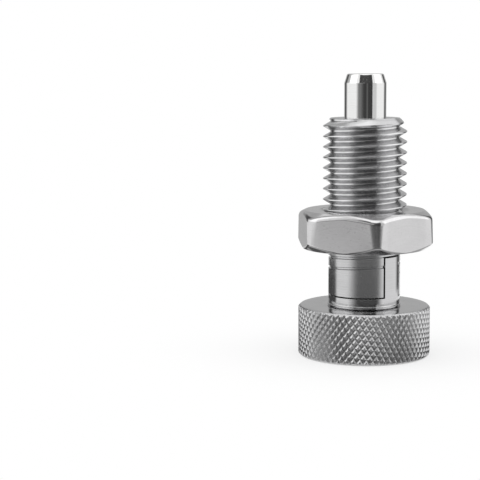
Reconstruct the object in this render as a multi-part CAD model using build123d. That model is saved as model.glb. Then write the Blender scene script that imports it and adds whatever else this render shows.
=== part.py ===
from build123d import *
import os
from math import ceil, cos, pi, radians, sin, tan

# Indexing plunger with a knurled pull knob, standing on the flat outer face of the knob.
# Millimetres. +Z runs along the pin, from the knob to the tip. The origin is the centre of the
# knob's outer face. The tongues of the locking collar lie on the X axis.

# Knob
knob_diameter = 19.0
knob_height = 7.2
knob_chamfer = 0.3
boss_diameter = 10.1
boss_height = 0.2
knurl_teeth = 64            # diamonds in one turn
knurl_angle = 34.0          # degrees between the grooves and the axis
knurl_depth = 0.28

# Locking collar, clamped between the knob and the shoulder of the pin
collar_thickness = 1.3
tongue_width = 3.0
tongue_length = 5.8

# Guide sleeve: smooth neck at the rear, then the M12 x 1.5 thread
neck_diameter = 10.35
neck_length = 6.6
thread_diameter = 12.0
thread_pitch = 1.5
thread_depth = 0.85         # crest to root
thread_crest = 0.19         # flat left on the crest
thread_start = 0.57         # from the front end back to a crest, on the X axis
thread_facets = 32          # facets in one turn
sleeve_length = 25.35
front_chamfer = 0.9
chamber_diameter = 8.2
guide_length = 9.0

# Index pin
pin_diameter = 6.0
pin_projection = 6.25
lead_depth = 0.42
lead_length = 1.3
tip_radius = 0.25
flange_thickness = 1.2
shank_diameter = 4.0
spigot_diameter = 3.0       # M3 end that screws into the knob
spigot_grip = 4.3

# Spring and the bush that closes its chamber
wire_diameter = 0.6
coil_diameter = 6.2
coil_turns = 8
bush_length = 2.3
bush_recess = 0.3

# Thin hexagon locknut
nut_flats = 18.0
nut_thickness = 5.5
nut_corner_radius = 1.5
nut_face_diameter = 17.1
nut_chamfer_angle = 30.0
nut_countersink = 0.45
nut_place = 6.7             # from the rear end of the sleeve to the lower face of the nut
nut_angle = 18.8            # degrees from the X axis to a corner

# Clearances, on the radius or at an end
rear_gap = 0.12             # collar to the rear end of the sleeve
tongue_side_gap = 0.2
tongue_end_gap = 0.2
tongue_bore_gap = 0.1       # tongue to the spring chamber
pin_clearance = 0.05
flange_clearance = 0.1
shank_clearance = 0.08
thread_clearance = 0.05
spigot_end_gap = 0.4

# Heights of the faces where the pieces meet
boss_top = knob_height + boss_height
collar_top = boss_top + collar_thickness
sleeve_rear = collar_top + rear_gap
sleeve_front = sleeve_rear + sleeve_length
seat_height = sleeve_front - guide_length
flange_bottom = seat_height - flange_thickness
bush_top = sleeve_rear + bush_recess + bush_length
nut_base = sleeve_rear + nut_place


def turned(points):
    """Solid of revolution about Z from (radius, height) points."""
    return revolve(Plane.XZ * make_face(Polyline(*points, close=True)), Axis.Z)


def rod(diameter, low, high):
    """Cylinder on Z between two heights."""
    return Pos(0, 0, (low + high) / 2) * Cylinder(diameter / 2, high - low)


def knurl_ring(height, crest, valley, shift):
    """Points of one ring, with crests and valleys in turn; shift moves them by half a diamond."""
    ring = []
    for i in range(2 * knurl_teeth):
        radius = crest if (i + shift) % 2 == 0 else valley
        angle = pi * i / knurl_teeth
        ring.append(Vector(radius * cos(angle), radius * sin(angle), height))
    return ring


def knurl_rings():
    """Rings of the knurled rim from the lower face to the upper one.

    Neighbouring rings are half a groove pitch apart, so crests and valleys stand as a
    chessboard and each crest is the point of a four-sided pyramid.
    """
    crest = knob_diameter / 2
    valley = crest - knurl_depth
    face = crest - knob_chamfer - knurl_depth
    band = knob_height - 2 * knob_chamfer
    half_pitch = pi * crest / knurl_teeth / tan(radians(knurl_angle))
    rows = max(2, round(band / half_pitch))
    rings = [knurl_ring(0, face, face, 0), knurl_ring(knob_chamfer, valley, valley, 0)]
    for row in range(1, rows):
        height = knob_chamfer + band * row / rows
        rings.append(knurl_ring(height, crest, valley, row))
    rings.append(knurl_ring(knob_height - knob_chamfer, valley, valley, rows))
    rings.append(knurl_ring(knob_height, face, face, rows))
    return rings


def knurled_rim():
    """Closed faceted solid; every square between two rings folds along its groove."""
    rings = knurl_rings()
    around = 2 * knurl_teeth
    faces = [Face(Wire.make_polygon(rings[0])), Face(Wire.make_polygon(rings[-1]))]
    for k in range(len(rings) - 1):
        low, high = rings[k], rings[k + 1]
        for i in range(around):
            j = (i + 1) % around
            if (i + k) % 2 == 0:
                halves = ((low[i], low[j], high[j]), (low[i], high[j], high[i]))
            else:
                halves = ((low[i], low[j], high[i]), (low[j], high[j], high[i]))
            faces += [Face(Wire.make_polygon(corners)) for corners in halves]
    return Solid(Shell(faces))


def knob():
    """Knurled knob with a low boss and a blind tapped hole for the pin."""
    body = knurled_rim() + rod(boss_diameter, knob_height / 2, boss_top)
    return body - rod(spigot_diameter, boss_top - spigot_grip - spigot_end_gap, boss_top)


def lock_collar():
    """Ring with two tongues that slide in the slot of the sleeve."""
    plate = rod(neck_diameter, boss_top, collar_top)
    tongue_top = collar_top + tongue_length
    inner = chamber_diameter + 2 * tongue_bore_gap
    tube = rod(neck_diameter, collar_top, tongue_top) - rod(inner, collar_top, tongue_top)
    band = Pos(0, 0, (collar_top + tongue_top) / 2) * Box(neck_diameter, tongue_width, tongue_length)
    return plate + (tube & band) - rod(spigot_diameter, boss_top, collar_top)


def threaded_rod(low, high):
    """Faceted rod with the right-handed 60 degree thread, past both heights.

    Its rows of points climb one pitch in a turn, four rows to a pitch: the two edges of the
    crest and the two edges of the root. Each end is a fan from a point on the axis.
    """
    crest = thread_diameter / 2
    root = crest - thread_depth
    crest_edge = thread_crest / 2
    root_edge = crest_edge + thread_depth * tan(radians(30))
    form = [(-crest_edge, crest), (crest_edge, crest), (root_edge, root), (thread_pitch - root_edge, root)]
    last_crest = sleeve_front - thread_start
    first = last_crest - thread_pitch * ceil((last_crest - low) / thread_pitch + 1.5)
    rows = 4 * ceil((high - first) / thread_pitch + 0.5)

    def point(column, row):
        turns, column = divmod(column, thread_facets)
        lift, radius = form[row % 4]
        share = column / thread_facets
        height = first + thread_pitch * (row // 4 + turns + share) + lift
        return Vector(radius * cos(2 * pi * share), radius * sin(2 * pi * share), height)

    triangles = []
    for column in range(thread_facets):
        for row in range(rows):
            a, b = point(column, row), point(column + 1, row)
            c, d = point(column + 1, row + 1), point(column, row + 1)
            triangles += [(a, b, c), (a, c, d)]
    for row, centre in ((0, first), (rows, first + thread_pitch * (rows // 4 + 1))):
        axis = Vector(0, 0, centre)
        for column in range(thread_facets):
            triangles.append((axis, point(column, row), point(column + 1, row)))
        for step in range(row, row + 4):
            triangles.append((axis, point(0, step), point(0, step + 1)))
    return Solid(Shell([Face(Wire.make_polygon(corners)) for corners in triangles]))


def guide_sleeve():
    """Threaded sleeve with the pin's guide at the front and the spring chamber behind it."""
    neck = neck_diameter / 2
    thread = thread_diameter / 2
    chamber = chamber_diameter / 2
    guide = pin_diameter / 2 + pin_clearance
    shoulder = sleeve_rear + neck_length
    smooth = turned([
        (chamber, sleeve_rear),
        (neck, sleeve_rear),
        (neck, shoulder),
        (chamber, shoulder),
    ])
    threaded = turned([
        (chamber, shoulder),
        (neck, shoulder),
        (thread, shoulder + thread - neck),
        (thread, sleeve_front - front_chamfer),
        (thread - front_chamfer, sleeve_front),
        (guide, sleeve_front),
        (guide, seat_height),
        (chamber, seat_height),
    ]) & threaded_rod(shoulder, sleeve_front)
    slot_width = tongue_width + 2 * tongue_side_gap
    slot_depth = tongue_length - rear_gap + tongue_end_gap
    slot = Pos(0, 0, sleeve_rear + slot_depth / 2) * Box(2 * thread_diameter, slot_width, slot_depth)
    return smooth + threaded - slot


def end_bush():
    """Pressed bush that closes the chamber, guides the shank and carries the spring."""
    bore = shank_diameter + 2 * shank_clearance
    return rod(chamber_diameter, bush_top - bush_length, bush_top) - rod(bore, bush_top - bush_length, bush_top)


def compression_spring():
    """Helical spring with its ends ground flat, between the bush and the flange of the pin."""
    length = flange_bottom - bush_top
    coil = Pos(0, 0, bush_top) * Helix(length / coil_turns, length, coil_diameter / 2)
    section = Plane(origin=coil @ 0, z_dir=coil % 0) * Circle(wire_diameter / 2)
    wire = sweep(section, path=coil, is_frenet=True)
    return wire & rod(chamber_diameter, bush_top, flange_bottom)


def index_pin():
    """Pin with a lead on its nose, a stop flange, a shank and a screwed end."""
    nose = pin_diameter / 2
    tip = sleeve_front + pin_projection
    flange = chamber_diameter / 2 - flange_clearance
    shank = shank_diameter / 2
    spigot = spigot_diameter / 2
    body = turned([
        (0, boss_top - spigot_grip),
        (spigot, boss_top - spigot_grip),
        (spigot, collar_top),
        (shank, collar_top),
        (shank, flange_bottom),
        (flange, flange_bottom),
        (flange, seat_height),
        (nose, seat_height),
        (nose, tip - lead_length),
        (nose - lead_depth, tip),
        (0, tip),
    ])
    return fillet(body.edges().group_by(Axis.Z)[-1], tip_radius)


def hex_locknut():
    """Thin hexagon nut with rounded corners, chamfered on both sides."""
    flats = nut_flats / 2
    outline = RegularPolygon(flats, 6, major_radius=False)
    outline = fillet(outline.vertices(), nut_corner_radius)
    prism = extrude(outline, nut_thickness)
    face = nut_face_diameter / 2
    reach = flats / cos(radians(30))
    drop = (reach - face) * tan(radians(nut_chamfer_angle))
    envelope = turned([
        (0, 0),
        (face, 0),
        (reach, drop),
        (reach, nut_thickness - drop),
        (face, nut_thickness),
        (0, nut_thickness),
    ])
    bore = thread_diameter / 2 + thread_clearance
    hole = turned([
        (0, 0),
        (bore + nut_countersink, 0),
        (bore, nut_countersink),
        (bore, nut_thickness - nut_countersink),
        (bore + nut_countersink, nut_thickness),
        (0, nut_thickness),
    ])
    return Pos(0, 0, nut_base) * Rot(0, 0, nut_angle) * ((prism & envelope) - hole)


pieces = {
    "knob": knob,
    "lock_collar": lock_collar,
    "guide_sleeve": guide_sleeve,
    "end_bush": end_bush,
    "compression_spring": compression_spring,
    "index_pin": index_pin,
    "hex_locknut": hex_locknut,
}

os.makedirs("parts", exist_ok=True)
for name, make in pieces.items():
    export_step(make(), f"parts/{name}.step")
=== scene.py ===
import math

import bpy
import numpy as np
from bpy.props import FloatProperty, FloatVectorProperty, IntProperty, PointerProperty
from mathutils import Matrix, Vector


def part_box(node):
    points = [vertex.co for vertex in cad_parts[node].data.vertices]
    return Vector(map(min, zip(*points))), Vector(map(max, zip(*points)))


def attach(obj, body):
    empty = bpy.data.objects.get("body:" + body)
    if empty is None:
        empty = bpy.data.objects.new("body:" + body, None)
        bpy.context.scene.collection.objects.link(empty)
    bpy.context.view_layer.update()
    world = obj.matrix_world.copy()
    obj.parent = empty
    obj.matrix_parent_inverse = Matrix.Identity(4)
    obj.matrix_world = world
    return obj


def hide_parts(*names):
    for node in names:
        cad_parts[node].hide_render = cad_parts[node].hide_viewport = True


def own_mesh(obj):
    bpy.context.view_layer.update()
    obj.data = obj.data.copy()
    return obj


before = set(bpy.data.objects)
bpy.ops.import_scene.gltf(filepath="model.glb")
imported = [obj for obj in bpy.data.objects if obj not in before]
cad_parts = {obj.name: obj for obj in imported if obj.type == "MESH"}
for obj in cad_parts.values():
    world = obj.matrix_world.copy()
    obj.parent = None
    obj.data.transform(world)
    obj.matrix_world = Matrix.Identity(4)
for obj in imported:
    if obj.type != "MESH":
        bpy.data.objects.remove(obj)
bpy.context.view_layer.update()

bl_info = {
    "name": "Indexing plunger",
    "version": (1, 0, 0),
    "blender": (4, 5, 0),
    "location": "View3D > Sidebar > Plunger",
    "description": "Dresses the indexing plunger: sleeve, pin, knurled knob and hexagon locknut",
    "category": "Object",
}

# Lengths are millimetres. Angles are given in degrees or turns, unless a name says otherwise, and
# worked out in radians.
MM = 0.001
FULL_TURN = 2 * math.pi


def top(node):
    """Height of a CAD node's upper end."""
    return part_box(node)[1].z / MM


def bottom(node):
    """Height of a CAD node's lower end."""
    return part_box(node)[0].z / MM


# ---- Meshes from whole arrays ----

class Skin:
    """A piece's surface, gathered as tables of point numbers and turned into faces.

    A table has a row for each column of the surface round the axis, with the first repeated at
    the end, and runs along the profile.
    """

    def __init__(self):
        self.points = []
        self.count = 0
        self.quads = []
        self.triangles = []
        self.outlines = []

    def add(self, x, y, z):
        """Adds points given as equal arrays and returns their numbers in the same shape."""
        x, y, z = np.broadcast_arrays(x, y, z)
        self.points.append(np.stack([x, y, z], axis=-1).reshape(-1, 3))
        numbers = self.count + np.arange(x.size).reshape(x.shape)
        self.count += x.size
        return numbers

    def rings(self, turns, radius, height):
        """Points at radius and height along the profile, carried round the axis.

        x = radius * cos(turn), y = radius * sin(turn), z = height. turns is one value for each
        column, or a row of them for each step of the profile. A radius of zero is one pole.
        """
        turns = np.asarray(turns, float)
        if turns.ndim == 1:
            turns = turns[:, None]
        angle, radius, height = np.broadcast_arrays(
            FULL_TURN * turns, np.atleast_2d(radius), np.atleast_2d(height)
        )
        numbers = self.add(radius * np.cos(angle), radius * np.sin(angle), height)
        at_pole = (radius == 0).all(axis=0)
        numbers[:, at_pole] = numbers[0, at_pole]
        return np.vstack([numbers, numbers[:1]])

    def turned(self, turns, *profile):
        """Rings through a profile of points, each a radius and a height, and of arcs."""
        points = np.vstack([np.atleast_2d(part) for part in profile])
        return self.rings(turns, *points.T)

    def woven(self, columns, column_rise, marks, row_starts, row_rise, low, high, radius):
        """A tube between two heights, woven from two families of lines that wind round it.

        Column lines keep c = count * turn + column_rise * z at each value of columns, which cover
        one turn. Row lines keep r = row_starts * turn + row_rise * z at a whole number plus each
        of marks. A point is where two lines cross: z follows from r along its column line, and
        the turn from c. Heights are held between low and high, and what falls outside closes up,
        so both ends are plain rings. radius(r, c, z) gives the distance from the axis.
        """
        columns = np.asarray(columns, float)
        span = round(columns[-1] + columns[1] - 2 * columns[0])
        slope = row_rise - row_starts * column_rise / span
        offset = row_starts * columns / span
        ends = np.array([0.0, row_starts])
        first = math.floor(ends.min() + slope * low + columns[0] * row_starts / span) - 1
        last = math.ceil(ends.max() + slope * high + columns[0] * row_starts / span) + 2
        lines = (np.arange(first, last)[:, None] + np.asarray(marks)[None, :]).ravel()
        at_low = np.searchsorted(lines, offset + slope * low, side="right") - 1
        at_high = np.searchsorted(lines, offset + slope * high, side="left")
        z = np.clip((lines[None, :] - offset[:, None]) / slope, low, high)
        turn = (columns[:, None] - column_rise * z) / span
        r = row_starts * turn + row_rise * z
        distance = radius(r, columns[:, None] + 0 * z, z)
        angle = FULL_TURN * turn
        numbers = self.add(distance * np.cos(angle), distance * np.sin(angle), z)
        rows = np.arange(len(lines))
        held = np.clip(rows[None, :], at_low[:, None], at_high[:, None])
        shifted = np.clip(rows - row_starts * len(marks), at_low[0], at_high[0])
        closed = np.vstack([held, shifted])
        column = np.append(np.arange(len(columns)), 0)
        return numbers[column[:, None], closed]

    def cover(self, table, keep=None, split=None):
        """Faces between neighbouring columns and steps of a table.

        keep says which columns of faces are made. split, one value a face, gives two triangles:
        along the first diagonal where it is true and the second where it is false.
        """
        a, b, c, d = table[:-1, :-1], table[1:, :-1], table[1:, 1:], table[:-1, 1:]
        if keep is not None:
            a, b, c, d = a[keep], b[keep], c[keep], d[keep]
        a, b, c, d = a.ravel(), b.ravel(), c.ravel(), d.ravel()
        if split is None:
            self.quads.append(np.stack([a, b, c, d], axis=1))
            return
        split = split.ravel()
        self.triangles.append(np.stack([a, b, np.where(split, c, d)], axis=1))
        self.triangles.append(np.stack([np.where(split, a, b), c, d], axis=1))

    def outline(self, numbers):
        """One flat face round a list of point numbers."""
        self.outlines.append([int(number) for number in numbers])

    def faces(self):
        """All the faces: repeated corners are dropped, and faces with fewer than three corners."""
        found = list(self.outlines)
        corners = [np.array(t) for t in self.triangles]
        for quads in self.quads:
            same = quads == np.roll(quads, -1, axis=1)
            whole = ~same.any(axis=1)
            found += quads[whole].tolist()
            for k in range(4):
                lone = same[:, k] & (same.sum(axis=1) == 1)
                corners.append(np.delete(quads[lone], k, axis=1))
        for triangles in corners:
            a, b, c = triangles.T
            found += triangles[(a != b) & (b != c) & (c != a)].tolist()
        return found

    def mesh(self, name, crease=35.0):
        """The mesh in metres: unused points dropped, faces outwards and edges past crease sharp."""
        faces = self.faces()
        used, flat = np.unique(np.concatenate(faces), return_inverse=True)
        points = np.concatenate(self.points)[used]
        sizes = np.array([len(face) for face in faces])
        ends = np.cumsum(sizes) - 1
        starts = ends - sizes + 1
        following = np.arange(1, len(flat) + 1)
        following[ends] = starts
        first = np.repeat(flat[starts], sizes)
        across = np.cross(points[flat], points[flat[following]])
        if np.einsum("ij,ij->i", points[first], across).sum() < 0:
            flat = flat[np.repeat(starts + ends, sizes) - np.arange(len(flat))]
        made = bpy.data.meshes.new(name)
        made.vertices.add(len(points))
        made.vertices.foreach_set("co", (points * MM).astype(np.float32).ravel())
        made.loops.add(len(flat))
        made.loops.foreach_set("vertex_index", flat.astype(np.int32))
        made.polygons.add(len(faces))
        made.polygons.foreach_set("loop_start", starts.astype(np.int32))
        made.update(calc_edges=True)
        if made.validate():
            raise RuntimeError(f"{name} has faulty faces")
        made.shade_smooth()
        made.set_sharp_from_angle(angle=math.radians(crease))
        return made

    def mesh_as_added(self, name):
        """The mesh in metres of an open sheet, with its points in the order they were added."""
        made = bpy.data.meshes.new(name)
        made.from_pydata((np.concatenate(self.points) * MM).tolist(), [], self.faces())
        return made


def add_object(name, data):
    """A new object in the scene, at the origin."""
    made = bpy.data.objects.new(name, data)
    bpy.context.scene.collection.objects.link(made)
    return made


def put_in_scene(name, mesh, material, body, slot, *nodes):
    """Makes the object at the origin, gives it its material, and ties it to the frame."""
    piece = add_object(name, mesh)
    mesh.materials.append(material)
    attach(piece, body)
    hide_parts(*nodes)
    return piece


def arc(centre_radius, centre_height, radius, start, end, steps):
    """Profile points on an arc: centre plus radius times (cosine, sine) of angles in degrees."""
    angle = np.radians(np.linspace(start, end, steps))
    points = [centre_radius + radius * np.cos(angle), centre_height + radius * np.sin(angle)]
    return np.stack(points, axis=1)


def even_turns(count):
    """Turns of evenly spaced columns."""
    return np.arange(count) / count


def slotted_turns(count, edge, half):
    """Turns of columns that are even but for a slight stretch, which puts the columns numbered
    edge to each side of +X and -X exactly half from it. half is a share of a turn."""
    known, wanted = (
        [0, side, 0.5 - side, 0.5, 0.5 + side, 1 - side, 1] for side in (edge / count, half)
    )
    return np.interp(even_turns(count), known, wanted)


def half_turns(half_width, radius):
    """Turn at which a line parallel to X, half_width from it, meets a circle."""
    return math.asin(half_width / radius) / FULL_TURN


def near_slot(count, edge):
    """For each column of faces, whether it lies between the slot's edges."""
    column, half_way = np.arange(count), count // 2
    return np.minimum(column % half_way, (half_way - 1 - column) % half_way) < edge


def slot_edges(count, edge):
    """The four columns at the slot's edges, each with the sign of its x and of its y."""
    half_way = count // 2
    return (edge, 1, 1), (count - edge, 1, -1), (half_way - edge, -1, 1), (half_way + edge, -1, -1)


# ---- Thread form, shared by the sleeve and the nut ----

def eased(value, ease):
    """value held between 0 and 1, with both corners rounded over the distance ease."""
    rounded = value - (value - 1 + ease) ** 2 / (4 * ease)
    high = np.where(np.abs(value - 1) < ease, rounded, np.minimum(value, 1))
    return np.where(np.abs(high) < ease, (high + ease) ** 2 / (4 * ease), np.maximum(high, 0))


class ThreadForm:
    """A 60 degree vee: flat crest, straight flanks, flat root, and slightly rounded corners.

    Its radii are a clearance wider than the sleeve's. Row lines keep z / pitch - turn, and start
    is that value on a crest line. Half the crest's flat and the flank are shares of the pitch.
    """

    EASE = 0.022  # rounding of the corners, as a share of the depth

    def __init__(self, clearance=0.0):
        size = sizes_of("thread")
        self.depth, self.rise = size.thread_depth, 1 / size.pitch
        self.major = size.major + clearance
        self.root = size.major - size.thread_depth + clearance
        self.start = size.crest_height / size.pitch
        self.half_crest = size.crest_flat / size.pitch / 2
        self.flank = size.thread_depth * math.tan(math.radians(30)) / size.pitch

    def radius(self, row):
        """Distance from the axis: root + depth * how far up the flank the row stands."""
        phase = row - self.start
        away = np.abs(phase - np.round(phase))
        up = eased((self.half_crest + self.flank - away) / self.flank, self.EASE)
        return self.root + self.depth * up

    def marks(self, *heights):
        """Row lines in one pitch: in the middle of crest and root, three through each rounded
        corner, one on the flank beside it, and one at each of heights, as shares of the depth."""
        corner = np.array([-1.0, 0, 1, 2.0]) * self.EASE * self.flank
        more = self.half_crest + self.flank * (1 - np.array(heights))
        foot = self.half_crest + self.flank - corner
        away = np.concatenate([[0], self.half_crest + corner, more, foot, [0.5]])
        marks = np.concatenate([away, 1 - away[1:-1]]) + self.start
        return np.unique(np.round(marks % 1, 7))


# ---- Sizes and finishes that a user may change ----

def length(name, description, default, low=0.0, high=60.0):
    """A length in millimetres."""
    described = description + ", in millimetres"
    return FloatProperty(name=name, description=described, default=default, min=low, max=high)


def degrees(name, description, default, low=0.0):
    """An angle in degrees."""
    described = description + ", in degrees"
    return FloatProperty(name=name, description=described, default=default, min=low, max=60)


def whole(name, description, default, low, high):
    """A whole number."""
    return IntProperty(name=name, description=description, default=default, min=low, max=high)


def colour(name, description, default):
    """A plain colour."""
    return FloatVectorProperty(
        name=name, description=description, default=default, subtype="COLOR", size=3, min=0, max=1
    )


def factor(name, description, default, low=0.0, high=1.0):
    """A share or strength."""
    return FloatProperty(
        name=name, description=description, default=default, subtype="FACTOR", min=low, max=high
    )


class ThreadSizes(bpy.types.PropertyGroup):
    pitch: length("Pitch", "Rise of the thread in one turn", 1.5, 0.5, 3)
    major: length("Major radius", "Radius of the thread's crest", 6.0)
    thread_depth: length("Depth", "From crest to root", 1.03, 0.1, 2)
    crest_flat: length("Crest flat", "Width of the flat on the crest", 0.14, 0.02, 0.6)
    crest_height: length("Crest height", "Height at which a crest line meets the X axis", 33.6017)


class SleeveSizes(bpy.types.PropertyGroup):
    neck_radius: length("Neck radius", "Radius of the smooth rear end", 5.175)
    shoulder: length("Neck length", "From the rear end to the first thread", 6.6)
    front_chamfer: length("Front chamfer", "Width of the chamfer on the front end", 1.05)
    slot_half_width: length("Half slot", "Half the slot's width", 1.7)
    slot_end: length("Slot end", "Height of the slot's closed end", 14.7)
    guide_radius: length("Guide radius", "Radius of the pin's guide", 3.05)
    chamber_radius: length("Chamber radius", "Radius of the spring chamber", 4.1)
    guide_length: length("Guide length", "Length of the pin's guide", 9.0)
    trace_low: length("Lowest trace", "Height where the thread's trace on the neck ends", 12.0)
    trace_depth: length("Trace depth", "Depth of the thread's trace on the neck", 0.19)
    columns: whole("Columns", "Columns round the sleeve", 192, 48, 400)


class KnobSizes(bpy.types.PropertyGroup):
    radius: length("Radius", "Radius over the knurl", 9.5)
    height: length("Height", "Height of the knurled rim", 7.2)
    chamfer: length("Chamfer", "Chamfer on both rims", 0.3)
    boss_radius: length("Boss radius", "Radius of the boss under the collar", 5.05)
    steep_grooves: whole("Steep grooves", "Grooves of the steeper family", 70, 20, 120)
    steep_rise: length("Steep rise", "Height between the steeper grooves", 1.579)
    slack_grooves: whole("Slack grooves", "Grooves of the slacker family", 60, 20, 120)
    slack_rise: length("Slack rise", "Height between the slacker grooves", 1.207)
    groove_depth: length("Groove depth", "Depth of the knurl's grooves", 0.16)
    unevenness: factor("Unevenness", "How much the grooves differ in depth", 0.06)
    groove_share: factor("Groove share", "Half a groove's width in spacings", 0.29, 0.05, 0.5)


class NutSizes(bpy.types.PropertyGroup):
    flats: length("Across flats", "Width across the flats", 18.0)
    corner_high: length("Upper corner radius", "Rounding of the upright edges at the top", 2.3)
    corner_low: length("Lower corner radius", "Rounding of the upright edges at the bottom", 1.54)
    face_high: length("Upper face radius", "Radius of the upper face", 8.55)
    face_low: length("Lower face radius", "Radius of the lower face", 8.88)
    slope_high: degrees("Upper chamfer", "Slope of the upper chamfer", 26.0, 10)
    slope_low: degrees("Lower chamfer", "Slope of the lower chamfer", 36.0, 10)
    edge_high: length("Upper rounding", "Rounding between the upper chamfer and the flats", 0.9)
    edge_low: length("Lower rounding", "Rounding between the lower chamfer and the flats", 0.5)
    turned_by: degrees("Turned by", "Angle from the X axis to a corner", 18.8)
    countersink: length("Countersink", "Width of the countersink", 0.45)
    clearance: length("Clearance", "Gap between the threads", 0.04)


class PinSizes(bpy.types.PropertyGroup):
    radius: length("Radius", "Radius of the locating end", 3.0)
    lead: length("Lead", "How far the lead narrows the end", 0.42)
    lead_length: length("Lead length", "Length of the lead", 1.3)
    tip_radius: length("Tip radius", "Rounding of the end's edge", 0.25)
    flange_radius: length("Flange radius", "Radius of the stop flange", 4.0)
    shank_radius: length("Shank radius", "Radius of the shank", 2.0)
    spigot_radius: length("Spigot radius", "Radius of the end in the knob", 1.5)


class SpringSizes(bpy.types.PropertyGroup):
    coil_radius: length("Coil radius", "Radius of the spring to the middle of its wire", 3.1)
    wire_radius: length("Wire radius", "Radius of the wire", 0.3)
    turns: whole("Turns", "Turns of the spring", 8, 2, 30)
    travel: length("Travel", "How much shorter the spring is when the knob is drawn back", 6.3)


class Finishes(bpy.types.PropertyGroup):
    turned: colour("Turned steel", "Sleeve and collar", (0.61, 0.61, 0.615))
    ground: colour("Ground steel", "Index pin", (0.86, 0.86, 0.855))
    nut: colour("Nut steel", "Bright hexagon nut", (0.625, 0.62, 0.625))
    knurled: colour("Knurled steel", "Knob", (0.60, 0.60, 0.605))
    wire: colour("Spring wire", "Compression spring", (0.42, 0.42, 0.43))
    inner: colour("Bush steel", "End bush", (0.50, 0.49, 0.47))


class StageSettings(bpy.types.PropertyGroup):
    floor: colour("Floor", "Pale floor", (0.88, 0.88, 0.88))
    surround: factor("Surround", "Strength of the plain white surround", 1.0, 0, 2)
    side_light: factor("Side lights", "Brightness that the side softboxes add", 0.6, 0, 4)
    top_light: factor("Top light", "Brightness that the overhead softbox adds", 0.5, 0, 4)
    dark: factor("Dark cards", "Brightness of the dark cards", 0.08)
    grey: factor("Grey cards", "Brightness of the grey cards", 0.5)


def sizes_of(name):
    """One of this add-on's groups of values on the scene."""
    return getattr(bpy.context.scene, "plunger_" + name)


# ---- Materials ----

class NodeNet:
    """Adds nodes to one tree. An input given as a socket is linked to it, and any other is set."""

    def __init__(self, tree):
        self.tree = tree

    def add(self, kind, inputs=(), **settings):
        node = self.tree.nodes.new("ShaderNode" + kind)
        for name, value in settings.items():
            setattr(node, name, value)
        for key, value in dict(inputs).items():
            self.set(node.inputs[key], value)
        return node

    def set(self, socket, value):
        if isinstance(value, bpy.types.NodeSocket):
            self.tree.links.new(value, socket)
        else:
            socket.default_value = value

    def math(self, operation, *values):
        return self.add("Math", enumerate(values), operation=operation).outputs[0]

    def times(self, *values):
        return self.math("MULTIPLY", *values)

    def step(self, value, low, high, **inputs):
        """0 below low, 1 above high, and smooth between."""
        given = {"Value": value, "From Min": low, "From Max": high, **inputs}
        return self.add("MapRange", given, interpolation_type="SMOOTHSTEP").outputs["Result"]

    def noise(self, inputs, **settings):
        return self.add("TexNoise", inputs, **settings).outputs["Fac"]

    def length(self, place):
        return self.add("VectorMath", {0: place}, operation="LENGTH").outputs["Value"]

    def away_from_axis(self, place):
        flat = self.add("VectorMath", {0: place, 1: (1, 1, 0)}, operation="MULTIPLY")
        return self.length(flat.outputs[0])


def turning_marks(net, given):
    """Rings left by the tool: noise along height plus radius, with Lines of them a millimetre."""
    height = net.add("SeparateXYZ", {0: given["Place"]}).outputs["Z"]
    along = net.math("ADD", height, net.away_from_axis(given["Place"]))
    lines = net.times(net.times(along, 1 / MM), given["Lines"])
    noise = net.noise({"W": lines, "Scale": 1.0, "Detail": 3.0}, noise_dimensions="1D")
    return net.step(noise, 0.35, 0.65), noise


def handling(net, given):
    """Marks of use: soft clouds, Clouds of them a millimetre, and scratches in two directions."""
    scale = net.times(given["Clouds"], 1 / MM)
    noise = net.noise({"Vector": given["Place"], "Scale": scale, "Detail": 4.0})
    scratches = []
    for radians in ((0.5, 0.3, 0.6), (-0.7, 0.9, -0.4)):
        stretched = {"Vector": given["Place"], "Rotation": radians, "Scale": (160, 5200, 5200)}
        drawn = net.add("Mapping", stretched).outputs[0]
        line = net.noise({"Vector": drawn, "Scale": 1.0, "Detail": 1.0})
        scratches.append(net.step(line, 0.64, 0.72))
    return net.step(noise, 0.3, 0.7), net.math("MAXIMUM", *scratches)


def beyond_radius(net, given):
    """0 nearer the axis than Inner millimetres and 1 past Outer, with a slightly wandering edge."""
    inner, outer = given["Inner"], given["Outer"]
    reach = 0.8  # how far the edge wanders, as a share of its width
    noise = net.noise({"Vector": given["Place"], "Scale": 900.0, "Detail": 2.0})
    wander = net.math("MULTIPLY_ADD", net.math("SUBTRACT", outer, inner), noise, inner)
    middle = net.times(net.math("ADD", inner, outer), 0.5)
    moved = net.times(net.math("SUBTRACT", middle, wander), reach)
    distance = net.math("MULTIPLY_ADD", net.away_from_axis(given["Place"]), 1 / MM, moved)
    return (net.step(distance, inner, outer),)


# What each effect is given besides its Place, with defaults, and what it gives back.
EFFECTS = {
    turning_marks: ({"Lines": 9.0}, ("Streak", "Height")),
    handling: ({"Clouds": 0.35}, ("Cloud", "Scratches")),
    beyond_radius: ({"Inner": 5.0, "Outer": 6.0}, ("Mask",)),
}


def node_group(make):
    """An effect's node group, built once and shared."""
    group = bpy.data.node_groups.get(make.__name__)
    if group:
        return group
    inputs, outputs = EFFECTS[make]
    group = bpy.data.node_groups.new(make.__name__, "ShaderNodeTree")
    new_socket = group.interface.new_socket
    new_socket("Place", in_out="INPUT", socket_type="NodeSocketVector")
    for key, default in inputs.items():
        new_socket(key, in_out="INPUT", socket_type="NodeSocketFloat").default_value = default
    for key in outputs:
        new_socket(key, in_out="OUTPUT", socket_type="NodeSocketFloat")
    start, end = group.nodes.new("NodeGroupInput"), group.nodes.new("NodeGroupOutput")
    net = NodeNet(group)
    for key, socket in zip(outputs, make(net, start.outputs)):
        net.set(end.inputs[key], socket)
    return group


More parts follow.
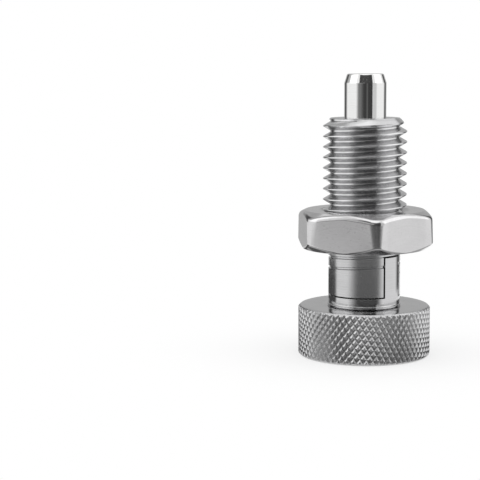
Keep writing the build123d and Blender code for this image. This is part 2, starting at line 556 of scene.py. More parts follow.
def steel(name, finish, roughness, *layers):
    """Principled metal in a finish's colour, whose shade, roughness and relief follow effects.

    A layer is an effect, its values, and for each output that it uses how much lighter, rougher
    and higher (in thousandths of a millimetre) the steel is where that output is 1.
    """
    material = bpy.data.materials.new(name)
    material.use_nodes = True
    net = NodeNet(material.node_tree)
    shader = net.tree.nodes["Principled BSDF"]
    place = net.add("TexCoord").outputs["Object"]
    state = [1.0, roughness, 0.0]
    for make, values, changes in layers:
        group = net.add("Group", {"Place": place, **values}, node_tree=node_group(make))
        for output, change in changes.items():
            for part, amount in enumerate(change):
                if amount:
                    mask = group.outputs[output]
                    state[part] = net.math("MULTIPLY_ADD", mask, amount, state[part])
    shade, rough, raised = state
    tint = tuple(getattr(sizes_of("finishes"), finish))
    shaded = net.add("VectorMath", {0: tint, "Scale": shade}, operation="SCALE")
    net.set(shader.inputs["Base Color"], shaded.outputs[0])
    net.set(shader.inputs["Roughness"], rough)
    shader.inputs["Metallic"].default_value = 1.0
    if isinstance(raised, bpy.types.NodeSocket):
        bump = net.add("Bump", {"Height": raised, "Distance": 0.001 * MM})
        net.set(shader.inputs["Normal"], bump.outputs["Normal"])
    return material


def turned_rings(lines, streak, height):
    """Layer of turning marks: what a streak changes, and how high the rings stand."""
    return turning_marks, {"Lines": lines}, {"Streak": streak, "Height": (0, 0, height)}


def wear(clouds, cloud, scratches):
    """Layer of marks of use: what a cloud and a scratch change."""
    return handling, {"Clouds": clouds}, {"Cloud": cloud, "Scratches": scratches}


def from_radius(inner, outer, *change):
    """Layer on what lies farther from the axis than two radii, which the change grows between."""
    return beyond_radius, {"Inner": inner, "Outer": outer}, {"Mask": change}


# ---- Pieces ----

WASHER = 1.3  # thickness of the collar's ring


def sleeve_mesh():
    """Sleeve: woven rows follow the thread outside, plain rings make the ends and the bores.

    Outside, the distance from the axis is the smallest of the thread form, the neck with its 45
    degree shoulder, and the front chamfer's cone. The slot is cut from the columns near the X
    axis, and its walls are flat faces between the outer and the inner edge.
    """
    size, thread = sizes_of("sleeve"), ThreadForm()
    rear, front = bottom("guide_sleeve"), top("guide_sleeve")
    neck, half = size.neck_radius, size.slot_half_width
    guide, chamber = size.guide_radius, size.chamber_radius
    slot_bevel, rear_chamfer, guide_chamfer, trace_fade = 0.06, 0.1, 0.12, 0.3
    mid_flank, over_neck = 0.55, 0.03  # shares of the thread's depth
    count = size.columns
    at_edge = half_turns(half + slot_bevel, neck)
    edge = round(at_edge * count)
    outer = slotted_turns(count, edge, at_edge)
    inner = slotted_turns(count, edge, half_turns(half, chamber))
    shoulder = rear + size.shoulder

    def outside(row, column, z):
        cut = thread.radius(row)
        fade = np.clip((z - size.trace_low) / trace_fade, 0, 1)
        cut = np.where(z < shoulder, np.maximum(cut, neck - size.trace_depth * fade), cut)
        turned_down = neck + np.maximum(z - shoulder, 0)
        lead_in = thread.major - np.maximum(z - (front - size.front_chamfer), 0)
        return np.minimum(np.minimum(cut, turned_down), lead_in)

    skin = Skin()
    rear_edge = skin.rings(outer, neck - rear_chamfer, rear)
    # Rows on the flank where the neck's surface cuts it, and at the depth of the trace.
    at_neck = (neck - thread.root) / thread.depth
    at_trace = at_neck - size.trace_depth / thread.depth
    marks = thread.marks(mid_flank, at_neck + over_neck, at_neck, at_trace)
    lower, upper = (
        skin.woven(outer, 0, marks, -1, thread.rise, low, high, outside)
        for low, high in ((rear + rear_chamfer, size.slot_end), (size.slot_end, front))
    )
    seat_height = front - size.guide_length
    lip = skin.turned(
        outer, (guide + guide_chamfer, front), (guide, front - guide_chamfer), (guide, seat_height)
    )
    seat, slot_ring, rear_ring = (
        skin.rings(inner, chamber, height) for height in (seat_height, size.slot_end, rear)
    )

    # The two tubes share the ring at the slot's end.
    joint = lower[:, -1:]
    upper = np.where(upper == upper[:, :1], joint, upper)
    in_slot = near_slot(count, edge)
    skin.cover(np.hstack([rear_edge, lower]), ~in_slot)
    skin.cover(np.hstack([upper, lip, seat, slot_ring]))
    skin.cover(np.hstack([slot_ring, rear_ring, rear_edge]), ~in_slot)
    skin.cover(np.hstack([slot_ring, joint]), in_slot)

    points = np.concatenate(skin.points)
    for column, end, side in slot_edges(count, edge):
        chain = np.concatenate([rear_edge[column], lower[column]])
        chain = chain[np.append(True, np.diff(chain) != 0)]
        x, _, z = points[chain].T
        inset = skin.add(x - end * slot_bevel, np.full(len(x), side * half), z)
        above, below = slot_ring[column, 0], rear_ring[column, 0]
        strip = [chain[:-1], chain[1:], inset[1:], inset[:-1]]
        walls = [[*inset, above, below], [chain[-1], above, inset[-1]], [chain[0], inset[0], below]]
        if side != end:
            strip = strip[:1] + strip[:0:-1]
            walls = [wall[::-1] for wall in walls]
        skin.quads.append(np.stack(strip, axis=1))
        for wall in walls:
            skin.outline(wall)
    return skin.mesh("guide_sleeve_skin")


def knob_mesh():
    """Knob: the knurl is two families of grooves woven round the rim, between turned faces.

    The distance from the axis is the knob's radius less the depth of whichever groove is deeper
    at that point, held inside the cones of the two chamfers. A groove is a vee with a rounded
    bottom.
    """
    size = sizes_of("knob")
    share, height, boss = size.groove_share, size.height, size.boss_radius
    collar_base = bottom("lock_collar")
    fillet, boss_bevel, hole, hole_chamfer = 0.12, 0.04, 1.52, 0.25
    hole_floor, drill_point, rim_edge, groove_ease = 2.7, 0.6, 0.02, 0.12
    face = size.radius - size.chamfer - 0.05
    lower_rings, upper_rings, boss_ring = (0, 1.2, 2.6, 4.2, 6.2, 8.0, face), (8.3, 7.2, 6.2), 3.2
    # Lines across a groove, as shares of half its width, and on the ridge, of the spacing.
    side, ridge = np.array([0, 0.15, 0.86, 1.0, 1.14]) * share, [0.43, 0.57]
    marks = np.unique(np.round(np.concatenate([side, ridge, 1 - side[1:]]), 6))

    def groove(line, count):
        """Depth of the nearest groove, which sines of its number make a little uneven."""
        first, second, swing = 2.4, 1.7, 2
        number = np.round(line) % count
        uneven = 1 + size.unevenness * np.sin(number * first + np.sin(number * second) * swing)
        return uneven * eased(1 - np.abs(line - np.round(line)) / share, groove_ease)

    def outside(row, column, z):
        deeper = np.maximum(groove(row, size.steep_grooves), groove(column, size.slack_grooves))
        cone = np.minimum(z, height - z) + size.radius - size.chamfer
        return np.minimum(size.radius - size.groove_depth * deeper, cone)

    skin = Skin()
    columns = (np.arange(size.slack_grooves)[:, None] + marks[None, :]).ravel()
    rim = skin.woven(
        columns, -1 / size.slack_rise, marks, size.steep_grooves, 1 / size.steep_rise,
        rim_edge, height - rim_edge, outside,
    )
    low_turns = (columns + rim_edge / size.slack_rise) / size.slack_grooves
    high_turns = (columns + (height - rim_edge) / size.slack_rise) / size.slack_grooves
    under = skin.turned(low_turns, *((r, 0) for r in lower_rings))
    over = skin.turned(
        high_turns, (face, height), *((r, height) for r in upper_rings),
        arc(boss + fillet, height + fillet, fillet, 270, 180, 4),
        (boss, collar_base - boss_bevel), (boss - boss_bevel, collar_base),
        (boss_ring, collar_base), (hole + hole_chamfer, collar_base),
        (hole, collar_base - hole_chamfer), (hole, hole_floor), (0, hole_floor - drill_point),
    )
    # Each face of the rim is split along the groove or ridge that runs through it.
    line = np.append(columns, columns[0] + size.slack_grooves)
    middle = (line[:-1] + line[1:]) / 2
    mark = np.arange(rim.shape[1] - 1) % len(marks)
    row_middle = (marks[mark] + np.append(marks, 1)[mark + 1]) / 2
    across = (middle - np.round(middle))[:, None] * (row_middle - np.round(row_middle))[None, :]
    skin.cover(np.hstack([under, rim[:, :1]]))
    skin.cover(rim, split=across > 0)
    skin.cover(np.hstack([rim[:, -1:], over]))
    return skin.mesh("knob_skin", crease=28.0)


def collar_mesh():
    """Collar: a washer with two tongues that stand in the slot.

    Each ring's columns are stretched so that the tongues' sides are parallel to X at every
    radius, then the washer's upper face is opened under each tongue.
    """
    base, crown = bottom("lock_collar"), top("lock_collar")
    outer, washer_top, half = sizes_of("sleeve").neck_radius, base + WASHER, 1.5
    inner, bore, count, edge = 4.2, 1.56, 160, 8
    foot, foot_bevel, foot_height, foot_top = 0.15, 0.03, 0.27, 0.32
    least = 1.2 * half  # the bore's columns are spread as they would be at this radius

    def ring(radius, height):
        turns = slotted_turns(count, edge, half_turns(half, max(radius, least)))
        return skin.rings(turns, radius, height)

    skin = Skin()
    side = [
        ring(outer + foot - foot_bevel, base), ring(outer + foot, base + foot_bevel),
        *(ring(r, z) for r, z in arc(outer + foot, base + foot_height, foot, 270, 180, 6)),
        ring(outer, base + foot_top),
    ]
    bore_low = ring(bore, base)
    top_outer, top_inner, bore_high = (ring(r, washer_top) for r in (outer, inner, bore))
    in_slot = near_slot(count, edge)
    skin.cover(np.hstack([bore_high, bore_low, *side, top_outer]))
    skin.cover(np.hstack([top_outer, top_inner]), ~in_slot)
    skin.cover(np.hstack([top_inner, bore_high]))
    crown_outer, crown_inner = ring(outer, crown), ring(inner, crown)
    skin.cover(np.hstack([top_outer, crown_outer, crown_inner, top_inner]), in_slot)
    for column, end, side in slot_edges(count, edge):
        wall = [table[column, 0] for table in (top_outer, top_inner, crown_inner, crown_outer)]
        skin.outline(wall[::end * side])
    return skin.mesh("lock_collar_skin")


def pin_mesh():
    """Pin: one profile carried round the axis, from the screwed end to the rounded tip."""
    size = sizes_of("pin")
    radius, flange = size.radius, size.flange_radius
    shank, spigot = size.shank_radius, size.spigot_radius
    low, high = bottom("index_pin"), top("index_pin")
    washer_top = bottom("lock_collar") + WASHER
    seat = top("guide_sleeve") - sizes_of("sleeve").guide_length
    flange_thickness, spigot_chamfer, shank_bevel, bevel, ease = 1.2, 0.25, 0.06, 0.08, 0.15
    # Plain rings: up the locating end, below its lead, beside each arc, and on the end face.
    ring_up, ring_below, beside, ring_edge, ring_share = 4, 0.05, 0.03, 0.04, 0.6
    flange_low = seat - flange_thickness
    # The tip's arc touches the end face and the lead, and ease rounds the lead's foot.
    normal = 90 - math.degrees(math.atan2(size.lead_length, size.lead))
    tip = size.tip_radius
    reach = radius - size.lead - tip * math.tan(math.radians((90 - normal) / 2))
    ease_height = high - size.lead_length - ease * math.tan(math.radians(normal / 2))
    base = arc(radius - ease, ease_height, ease, 0, normal, 9)
    crown = arc(reach, high - tip, tip, normal, 90, 9)
    along = (crown[0] - base[-1]) / np.hypot(*(crown[0] - base[-1]))
    skin = Skin()
    skin.cover(skin.turned(
        even_turns(144), (0, low), (spigot - spigot_chamfer, low), (spigot, low + spigot_chamfer),
        (spigot, washer_top), (shank - shank_bevel, washer_top), (shank, washer_top + shank_bevel),
        (shank, flange_low), (flange - bevel, flange_low), (flange, flange_low + bevel),
        (flange, seat - bevel), (flange - bevel, seat), (radius, seat),
        (radius, seat + ring_up), (radius, base[0, 1] - ring_below),
        base, base[-1] + beside * along, crown[0] - beside * along, crown,
        (reach - ring_edge, high), (reach * ring_share, high), (0, high),
    ))
    return skin.mesh("index_pin_skin")


def spring_mesh(low, high):
    """Spring: a wire carried along a helix, with both ends ground flat.

    Point = helix + wire radius * (cosine * outward + sine * upward across the wire), with every
    height held between the two ground ends.
    """
    size = sizes_of("spring")
    steps, columns = 40, 16  # along one turn of the helix, and round the wire
    turn = np.linspace(0, size.turns, size.turns * steps + 1)[:, None]
    around = FULL_TURN * even_turns(columns)[None, :]
    rise = (high - low) / size.turns
    lean = math.atan2(rise, FULL_TURN * size.coil_radius)
    angle = FULL_TURN * turn
    outward = size.coil_radius + size.wire_radius * np.cos(around)
    across = size.wire_radius * np.sin(around)
    x = outward * np.cos(angle) + across * math.sin(lean) * np.sin(angle)
    y = outward * np.sin(angle) - across * math.sin(lean) * np.cos(angle)
    z = np.clip(low + rise * turn + across * math.cos(lean), low, high)
    skin = Skin()
    table = skin.add(x, y, z)
    skin.cover(np.hstack([table, table[:, :1]]))
    skin.outline(table[0])
    skin.outline(table[-1][::-1])
    return skin.mesh("compression_spring_skin", crease=50.0)


def hexagon_columns(apothem, corner):
    """Distance and angle from the axis of each column round a hexagon with rounded corners.

    One sixth runs from the middle of a flat to the middle of the next: along the straight, by
    equal angles round the corner, and along the next straight. Both are linear in the corner's
    radius, so a hexagon whose corners change with height still has plane flats.
    """
    sixth, near_end = math.radians(60), 0.985
    straight = (apothem - corner) * math.tan(sixth / 2)
    share = np.append(np.linspace(0, near_end, 7), 1.0)
    bend = np.linspace(0, sixth, 13)[1:]
    x = np.concatenate([np.full(8, apothem), apothem - corner + corner * np.cos(bend)])
    y = np.concatenate([straight * share, straight + corner * np.sin(bend)])
    back = -straight * share[::-1][1:-1]
    x = np.concatenate([x, apothem * np.cos(sixth) - back * np.sin(sixth)])
    y = np.concatenate([y, apothem * np.sin(sixth) + back * np.cos(sixth)])
    angle = np.arctan2(y, x)[None, :] + np.arange(6)[:, None] * sixth
    return np.tile(np.hypot(x, y), 6)[:, None], angle.ravel()[:, None]


def nut_edge(reach, face, slope, edge, rim):
    """A column's way from a face to the flat, as radius and depth below the face.

    Two arcs that touch: the rim's between face and chamfer, and the edge's between chamfer and
    flat. Point = centre + radius * (cosine, sine) of the normal's angle. The edge's radius is
    held to what the chamfer has room for.
    """
    slope = math.radians(slope)
    sine, tangent, half_tangent = math.sin(slope), math.tan(slope), math.tan(slope / 2)
    edge = np.minimum(edge, (reach - face - rim * (sine - half_tangent)) / (1 - sine))
    over = np.linspace(math.pi / 2, math.pi / 2 - slope, 5)[None, :]
    around = np.linspace(math.pi / 2 - slope, 0, 12)[None, :]
    rim_r = face - rim * half_tangent + rim * np.cos(over) + 0 * reach
    rim_z = rim - rim * np.sin(over) + 0 * reach
    edge_r = reach - edge + edge * np.cos(around)
    centre_depth = (reach - face) * tangent + edge * (1 - sine) / math.cos(slope)
    edge_z = centre_depth - edge * np.sin(around)
    # One ring close to each end of the chamfer keeps its shading flat.
    end_share = 0.04
    near = end_share * (edge_r[:, :1] - rim_r[:, -1:])
    fall = near * tangent
    r = np.hstack([rim_r, rim_r[:, -1:] + near, edge_r[:, :1] - near, edge_r])
    z = np.hstack([rim_z, rim_z[:, -1:] + fall, edge_z[:, :1] - fall, edge_z])
    return r, z


def nut_mesh():
    """Nut: the rounded hexagon's distance from the axis limits each column's profile.

    A column goes out along the upper face, down the chamfer, round the eased edge, down the flat
    and back underneath. The bore is woven along the thread, a clearance wider than the sleeve's,
    and opened by a cone at each end.
    """
    size = sizes_of("nut")
    thread = ThreadForm(size.clearance)
    low, high = bottom("hex_locknut"), top("hex_locknut")
    rim_high, rim_low, inset_high, inset_low = 0.08, 0.12, 0.12, 0.18
    mouth_gap, mid_face, flat_gap = 0.01, 7.4, 0.05
    start_angle = math.radians(size.turned_by - 30)
    reach_high, angle_high = hexagon_columns(size.flats / 2, size.corner_high)
    reach_low, angle_low = hexagon_columns(size.flats / 2, size.corner_low)
    up_r, up_depth = nut_edge(
        reach_high, size.face_high, size.slope_high, size.edge_high, rim_high
    )
    down_r, down_depth = nut_edge(reach_low, size.face_low, size.slope_low, size.edge_low, rim_low)
    up_z, down_z = high - up_depth, low + down_depth

    bore_mouth = thread.major + size.countersink
    up_face, down_face = (
        np.tile([bore_mouth + mouth_gap, mid_face, rim], (len(reach_high), 1))
        for rim in (size.face_high - inset_high, size.face_low - inset_low)
    )
    # The flat, from below the upper edge to above the lower one, with its width between the two.
    above, below = up_z[:, -1:], down_z[:, -1:]
    flat_z = np.hstack([above - flat_gap, (above + below) / 2, below + flat_gap])
    share = (above - flat_z) / (above - below)
    flat_x, flat_y = (
        reach_high * way(angle_high) * (1 - share) + reach_low * way(angle_low) * share
        for way in (np.cos, np.sin)
    )
    flat_r, down_r, down_z = np.hypot(flat_x, flat_y), down_r[:, ::-1], down_z[:, ::-1]
    out_r = np.hstack([up_face, up_r, flat_r, down_r, down_face[:, ::-1]])
    out_z = np.hstack([up_face * 0 + high, up_z, flat_z, down_z, down_face * 0 + low])
    out_angle = np.hstack([
        angle_high + 0 * up_face, angle_high + 0 * up_r,
        angle_high * (1 - share) + angle_low * share,
        angle_low + 0 * down_r, angle_low + 0 * down_face,
    ])

    def bore(row, column, z):
        return np.maximum(thread.radius(row), bore_mouth - np.minimum(z - low, high - z))

    skin = Skin()
    turns = ((angle_high + angle_low) / 2 + start_angle).ravel() / FULL_TURN
    inside = skin.woven(turns, 0, thread.marks(0.5), -1, thread.rise, low, high, bore)
    outside = skin.rings((out_angle + start_angle) / FULL_TURN, out_r, out_z)
    skin.cover(np.hstack([inside, outside, inside[:, :1]]))
    return skin.mesh("hex_locknut_skin", crease=32.0)


# ---- Operators ----

class PlungerOperator:
    """Shared settings of the operators."""

    bl_options = {"REGISTER", "UNDO"}


class PLUNGER_OT_sleeve(PlungerOperator, bpy.types.Operator):
    """Make the guide sleeve with its thread, neck and slot"""

    bl_idname = "plunger.sleeve"
    bl_label = "Guide sleeve"

    def execute(self, context):
        material = steel(
            "threaded_steel", "turned", 0.16,
            turned_rings(7.0, (-0.05, 0.03, 0), 0.2),
            wear(0.4, (-0.06, 0.02, 0), (0.06, 0.05, -0.2)),
            # The radius layers are partly painted light. The root lines are 20% lighter, a painted
            # highlight. The lower flanks and the neck stay 10% darker than the upper flanks, a
            # painted shade towards the root. The crests are 30% lighter, partly as worn bright
            # steel and partly as a painted highlight.
            from_radius(4.93, 4.965, 0.2, -0.1, 0),
            from_radius(4.974, 4.982, -0.2, 0.12, 0),
            from_radius(5.2, 5.35, 0.1, 0, 0),
            from_radius(5.84, 5.96, 0.2, -0.06, 0),
        )
        put_in_scene("sleeve", sleeve_mesh(), material, "sleeve", "turned_steel", "guide_sleeve")
        return {"FINISHED"}


class PLUNGER_OT_nut(PlungerOperator, bpy.types.Operator):
    """Make the hexagon locknut"""

    bl_idname = "plunger.nut"
    bl_label = "Hexagon locknut"

    def execute(self, context):
        material = steel(
            "nut_steel", "nut", 0.1,
            wear(0.3, (-0.06, 0.03, 1.5), (-0.06, 0.06, -0.2)),
            turned_rings(4.0, (-0.02, 0.01, 0), 0),
            from_radius(9.55, 9.8, 0.06, 0.03, 0),
        )
        put_in_scene("locknut", nut_mesh(), material, "locknut", "nut_steel", "hex_locknut")
        return {"FINISHED"}


class PLUNGER_OT_pin(PlungerOperator, bpy.types.Operator):
    """Make the index pin"""

    bl_idname = "plunger.pin"
    bl_label = "Index pin"

    def execute(self, context):
        material = steel(
            "pin_steel", "ground", 0.06,
            turned_rings(10.0, (-0.03, 0.02, 0), 0.15),
            wear(0.3, (-0.03, 0.02, 0), (-0.05, 0.05, -0.1)),
        )
        put_in_scene("pin", pin_mesh(), material, "plunger", "ground_steel", "index_pin")
        return {"FINISHED"}


class PLUNGER_OT_collar(PlungerOperator, bpy.types.Operator):
    """Make the collar with its two tongues"""

    bl_idname = "plunger.collar"
    bl_label = "Locking collar"

    def execute(self, context):
        material = steel(
            "collar_steel", "turned", 0.09,
            turned_rings(6.0, (-0.05, 0.02, 0), 0.15),
            wear(0.35, (-0.05, 0.02, 0), (-0.04, 0.05, -0.1)),
        )
        piece = put_in_scene(
            "collar", collar_mesh(), material, "plunger", "turned_steel", "lock_collar"
        )
        bevel = piece.modifiers.new("eased_edges", "BEVEL")
        bevel.width, bevel.segments, bevel.limit_method = 0.05 * MM, 2, "ANGLE"
        bevel.angle_limit = math.radians(40)
        return {"FINISHED"}


class PLUNGER_OT_knob(PlungerOperator, bpy.types.Operator):
    """Make the knurled knob"""

    bl_idname = "plunger.knob"
    bl_label = "Knurled knob"

    def execute(self, context):
        material = steel(
            "knob_steel", "knurled", 0.08,
            turned_rings(6.0, (-0.04, 0.02, 0), 0.15),
            wear(0.35, (-0.05, 0.02, 0), (-0.04, 0.04, -0.1)),
            from_radius(9.12, 9.2, 0, 0.25, 0),
            from_radius(9.36, 9.48, 0.08, -0.04, 0),
        )
        put_in_scene("knurled_knob", knob_mesh(), material, "plunger", "knurled_steel", "knob")
        return {"FINISHED"}


class PLUNGER_OT_inner_parts(PlungerOperator, bpy.types.Operator):
    """Make the spring and finish the bush inside the sleeve"""

    bl_idname = "plunger.inner_parts"
    bl_label = "Spring and bush"

    def execute(self, context):
        worn = wear(0.5, (-0.1, 0.06, 0), (-0.08, 0.08, -0.3))
        drawn = turned_rings(12.0, (-0.05, 0.04, 0), 0)
        bored = turned_rings(5.0, (-0.06, 0.04, 0), 0.6)
        low, high = bottom("compression_spring"), top("compression_spring")
        spring = put_in_scene(
            "spring", spring_mesh(low, high), steel("wire_steel", "wire", 0.26, worn, drawn),
            "sleeve", "spring_wire", "compression_spring",
        )
        keep = 1 - sizes_of("spring").travel / (high - low)
        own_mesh(spring)
        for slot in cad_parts["end_bush"].material_slots:
            slot.material = steel("bush_steel", "inner", 0.26, worn, bored)
        return {"FINISHED"}


# ---- Stage ----

CAMERA_SIDE = 38.0  # degrees round the object from -Y towards +X


def facing(azimuth):
    """Unit vector away from the object, azimuth degrees to the right of the camera."""
    angle = math.radians(CAMERA_SIDE + azimuth)
    return np.array([math.sin(angle), -math.cos(angle), 0.0])


def add_camera():
    """Camera at the viewing angle, looking a little to the object's left."""
    away, height, heading, down, roll = 205.5, 42.4, -5.009, 7.170, -0.245
    data = bpy.data.cameras.new("camera")
    data.lens, data.sensor_width = 107.25, 36.0
    data.clip_start, data.clip_end = 5 * MM, 50_000 * MM
    camera = add_object("camera", data)
    place = facing(0) * away * MM
    camera.matrix_world = (
        Matrix.Translation(Vector((place[0], place[1], height * MM)))
        @ Matrix.Rotation(math.radians(CAMERA_SIDE - heading), 4, "Z")
        @ Matrix.Rotation(math.radians(90 - down), 4, "X")
        @ Matrix.Rotation(math.radians(roll), 4, "Z")
    )
    bpy.context.scene.camera = camera


def covered(name, under, over, share):
    """A material whose second shader covers the first by a share, which share(net) makes."""
    material = bpy.data.materials.new(name)
    material.use_nodes = True
    material.node_tree.nodes.clear()
    net = NodeNet(material.node_tree)
    shaders = [net.add(*shader).outputs[0] for shader in (under, over)]
    mix = net.add("MixShader", {0: share(net), 1: shaders[0], 2: shaders[1]})
    net.add("OutputMaterial", {"Surface": mix.outputs[0]})
    material.cycles.emission_sampling = "NONE"
    return material


def add_card(name, strength, left, right, inner, outer, low, high, *soft):
    """A card bent round the object's axis, seen only in reflections.

    x and y = radius * (sine, -cosine) of the angle, z = height. It runs from left to right
    degrees of the camera, and from radius inner at height low to radius outer at height high.
    Its cover falls to nothing over four soft widths: degrees at its left and right, millimetres
    at its low and high end.
    """
    soft_left, soft_right, soft_low, soft_high = soft
    along = math.hypot(outer - inner, high - low)
    columns, rows, steps = 49, 13, np.linspace(0, 1, 9)
    angles = np.unique(np.concatenate(
        [np.linspace(left, right, columns), left + soft_left * steps, right - soft_right * steps]
    ))[:, None]
    share = np.unique(np.concatenate(
        [np.linspace(0, 1, rows), soft_low / along * steps, 1 - soft_high / along * steps]
    ))[None, :]
    radius, z = inner + (outer - inner) * share, low + (high - low) * share
    turned = np.radians(angles + CAMERA_SIDE)
    sheet = Skin()
    sheet.cover(sheet.add(radius * np.sin(turned), -radius * np.cos(turned), z))
    mesh = sheet.mesh_as_added(name)
    cover = np.ones_like(angles * share)
    distances = angles - left, right - angles, share * along, (1 - share) * along
    for distance, width in zip(distances, soft):
        if width:
            ramp = np.clip(distance / width, 0, 1)
            cover = cover * ramp * ramp * (3 - 2 * ramp)
    values = mesh.attributes.new("cover", "FLOAT", "POINT").data
    values.foreach_set("value", cover.astype(np.float32).ravel())
    mesh.materials.append(covered(
        name, ("BsdfTransparent",), ("Emission", {"Strength": strength}),
        lambda net: net.add("Attribute", attribute_name="cover").outputs["Fac"],
    ))
    piece = add_object(name, mesh)
    piece.visible_camera = piece.visible_diffuse = piece.visible_shadow = False
    piece.visible_transmission = piece.visible_volume_scatter = False


def add_softbox(name, place, width, tall, brightness, overhead=False):
    """A rectangular lamp that faces the axis, or straight down when it is overhead. place is the
    angle from the camera, the distance and the height. brightness is the lamp's own radiance."""
    azimuth, away, height = place
    data = bpy.data.lights.new(name, "AREA")
    data.shape, data.size, data.size_y = "RECTANGLE", width * MM, tall * MM
    data.energy = brightness * math.pi * width * tall * MM * MM
    lamp = add_object(name, data)
    out = facing(azimuth)
    lamp.location = Vector((out[0] * away, out[1] * away, height)) * MM
    lean = 0 if overhead else math.radians(90)
    lamp.rotation_euler = (lean, 0, math.radians(CAMERA_SIDE + azimuth))
    lamp.visible_camera = False


def add_floor(stage):
    """A round pale floor, white but for the object's shadow when seen directly or reflected."""

    def whiteness(net):
        """What is seen is white, but less so near the object, where its shadow has to stay."""
        near, far, least = 11 * MM, 40 * MM, 0.6
        ray = net.add("LightPath").outputs
        seen = net.math("MAXIMUM", ray["Is Camera Ray"], ray["Is Glossy Ray"])
        seen = net.math("MAXIMUM", seen, ray["Is Transmission Ray"])
        distance = net.length(net.add("TexCoord").outputs["Object"])
        spread = net.step(distance, near, far, **{"To Min": least, "To Max": 1.0})
        return net.times(seen, spread)

    radii, height, columns = (0, 20, 40, 80, 160, 400, 1200, 3000), -0.02, 96
    sheet = Skin()
    sheet.cover(sheet.turned(even_turns(columns), *((r, height) for r in radii)))
    mesh = sheet.mesh_as_added("floor")
    paint = ("BsdfDiffuse", {"Color": (*stage.floor, 1)})
    mesh.materials.append(covered("floor", paint, ("Emission",), whiteness))
    add_object("floor", mesh)


def add_surround(stage):
    """A plain white surround."""
    world = bpy.data.worlds.new("surround")
    bpy.context.scene.world = world
    world.use_nodes = True
    background = world.node_tree.nodes["Background"]
    background.inputs["Color"].default_value = (1, 1, 1, 1)
    background.inputs["Strength"].default_value = stage.surround
    world.cycles.sampling_method = "NONE"


# For each card its name without _card, its strength or the stage's setting that holds it, angles
# (left, right), radii (inner, outer), heights (low, high) and soft widths (left, right, low, high).
CARDS = (
    # near_floor is a painted shadow: a dark ring close round the object, seen in reflections in
    # place of the floor that the object shades.
    ("near_floor", 0.14, -180, 180, 9.6, 22, -0.01, -0.01, 0, 0, 0, 8),
    ("near_left_floor", 0.45, -64, -20, 9.6, 14, -0.0015, -0.0015, 10, 8, 0, 2),
    ("nut_edge_floor", 0.07, -48, -16, 13, 47, -0.002, -0.002, 3, 16, 2, 5),
    ("floor", 0.5, -180, 180, 16, 42, -0.008, -0.008, 0, 0, 3, 8),
    # dark_floor is painted shade: the floor close in front of the object, seen in reflections
    # darker than front_floor farther out.
    ("dark_floor", 0.07, -55, 62, 28, 72, -0.012, -0.012, 38, 24, 4, 8),
    ("front_floor", 0.18, -55, 62, 62, 420, -0.005, -0.005, 38, 20, 8, 0),
    ("left_floor", 0.6, -80, -33, 135, 230, -0.004, -0.004, 8, 2, 8, 12),
    ("nut_floor", 0.07, -31, 50, 135, 230, -0.003, -0.003, 3, 4, 8, 12),
    ("low_nut_floor", 0.5, -36, 56, 135, 182, -0.002, -0.002, 6, 6, 8, 20),
    ("low_front", 0.2, -54, -30, 424, 424, -1, 90, 20, 0, 0, 30),
    ("front", 0.2, -36, 42, 428, 428, -1, 460, 4, 4, 0, 40),
    ("dark_front", 0.05, -32, 41, 420, 420, -1, 170, 28, 3, 0, 80),
    ("high_front", 0.06, -38, 46, 418, 418, 90, 520, 2.5, 2.5, 80, 30),
    ("left_front", 0.6, -44, 4, 400, 400, 95, 250, 10, 14, 25, 40),
    ("light_strip", 0.12, 4, 17, 415, 415, -1, 90, 5, 5, 0, 30),
    ("right_front", 0.66, 40, 70, 410, 410, -1, 300, 3, 12, 0, 60),
    ("low_neighbour", "dark", -160, -90, 35, 35, -0.02, 9, 6, 12, 0, 2),
    ("neighbour", "dark", -146, -90, 34, 34, -0.02, 12, 6, 12, 0, 2),
    ("left_rear", "dark", -149, -108, 62, 62, 14, 80, 6, 22, 2, 25),
    ("rear_left_floor", 0.1, -150, -108, 15, 122, -0.001, -0.001, 8, 14, 2, 10),
    ("right_rear", "dark", 112, 149, 62, 62, -0.02, 80, 20, 6, 0, 25),
    ("rear", "grey", 140, 220, 111, 111, -0.02, 120, 6, 6, 0, 15),
    ("left_high", "grey", -152, -95, 112, 112, 60, 260, 6, 10, 20, 0),
    ("high_rear", 0.06, 138, 222, 104, 104, 200, 297, 8, 8, 25, 4),
)


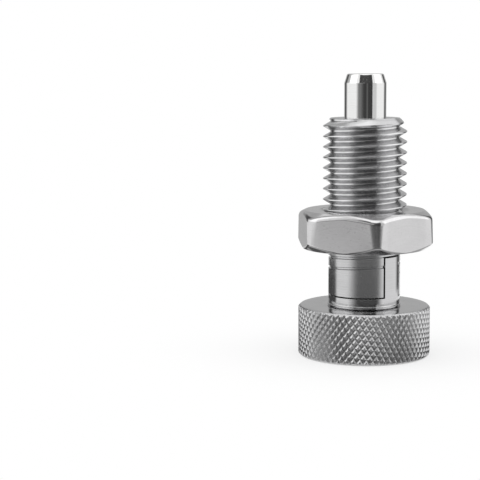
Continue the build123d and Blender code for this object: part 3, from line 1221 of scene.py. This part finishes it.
class PLUNGER_OT_stage(PlungerOperator, bpy.types.Operator):
    """Set up the camera, the floor, the softboxes and the reflection cards"""

    bl_idname = "plunger.stage"
    bl_label = "Stage"

    def execute(self, context):
        stage = sizes_of("stage")
        context.scene.view_settings.view_transform = "Standard"
        add_camera()
        add_floor(stage)
        add_surround(stage)
        add_softbox("left_softbox", (-80, 150, 165), 150, 220, stage.side_light)
        right_light = 0.92 * stage.side_light
        add_softbox("right_softbox", (84, 150, 165), 130, 220, right_light)
        add_softbox("top_softbox", (0, 176, 300), 210, 325, stage.top_light, overhead=True)
        for name, strength, *shape in CARDS:
            if isinstance(strength, str):
                strength = getattr(stage, strength)
            add_card(name + "_card", strength, *shape)
        return {"FINISHED"}


class PLUNGER_PT_panel(bpy.types.Panel):
    """Lists the pieces and their values"""

    bl_idname = "PLUNGER_PT_panel"
    bl_label = "Indexing plunger"
    bl_space_type = "VIEW_3D"
    bl_region_type = "UI"
    bl_category = "Plunger"

    def draw(self, context):
        layout = self.layout
        for kind in OPERATORS:
            layout.operator(kind.bl_idname)
        for name, kind in GROUPS.items():
            box = layout.box()
            box.label(text=kind.__name__)
            for key in kind.__annotations__:
                box.prop(getattr(context.scene, "plunger_" + name), key)


GROUPS = {
    "thread": ThreadSizes, "sleeve": SleeveSizes, "nut": NutSizes, "pin": PinSizes,
    "knob": KnobSizes, "spring": SpringSizes, "finishes": Finishes, "stage": StageSettings,
}
OPERATORS = (
    PLUNGER_OT_stage, PLUNGER_OT_sleeve, PLUNGER_OT_nut, PLUNGER_OT_pin,
    PLUNGER_OT_collar, PLUNGER_OT_knob, PLUNGER_OT_inner_parts,
)


def register():
    for kind in (*GROUPS.values(), *OPERATORS, PLUNGER_PT_panel):
        bpy.utils.register_class(kind)
    for name, kind in GROUPS.items():
        setattr(bpy.types.Scene, "plunger_" + name, PointerProperty(type=kind))


def unregister():
    for name in GROUPS:
        delattr(bpy.types.Scene, "plunger_" + name)
    for kind in reversed((*GROUPS.values(), *OPERATORS, PLUNGER_PT_panel)):
        bpy.utils.unregister_class(kind)


def main():
    """Registers the classes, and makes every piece."""
    register()
    for kind in OPERATORS:
        area, name = kind.bl_idname.split(".")
        getattr(getattr(bpy.ops, area), name)()


if __name__ == "__main__":
    main()
